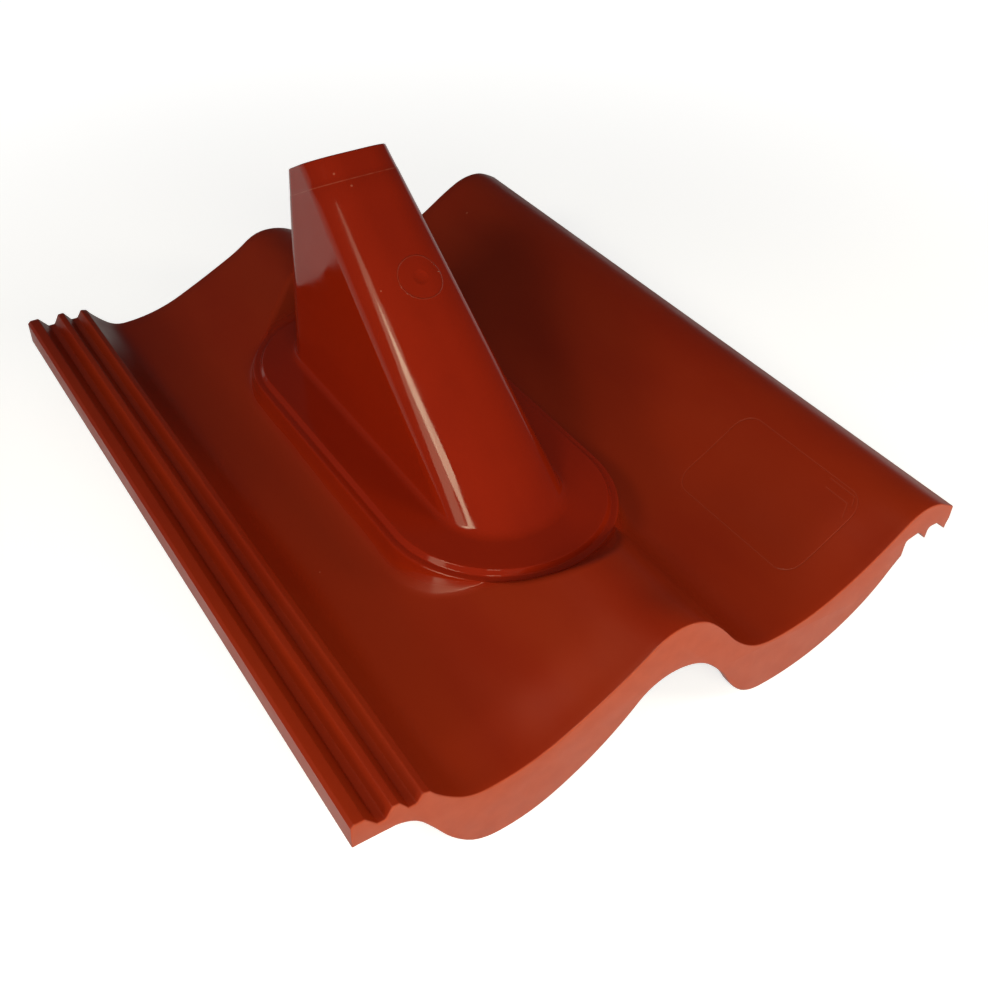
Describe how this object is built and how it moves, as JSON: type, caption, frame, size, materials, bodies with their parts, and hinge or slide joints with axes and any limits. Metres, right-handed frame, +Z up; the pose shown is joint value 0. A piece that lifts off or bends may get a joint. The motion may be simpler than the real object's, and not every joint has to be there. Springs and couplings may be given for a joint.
{
  "type": "antenna roof tile",
  "caption": "Moulded plastic double-roll roof tile with side locks, a front rim and a leaning open hood on an oval plinth that lets an antenna mast through.",
  "frame": {"origin": "under the middle of the tile's outline, in the plane that its lowest point rests on", "axes": "+X across the tile from the ribbed left lock to the toothed right lock, +Y up the slope from the front rim to the head, +Z up and out of the roof"},
  "size_m": [0.331, 0.417, 0.1847],
  "materials": {
    "tile_plastic": "smooth moulded red-brown plastic, coloured through"
  },
  "bodies": {
    "root": {"roof_tile": "tile_plastic"}
  },
  "joints": []
}
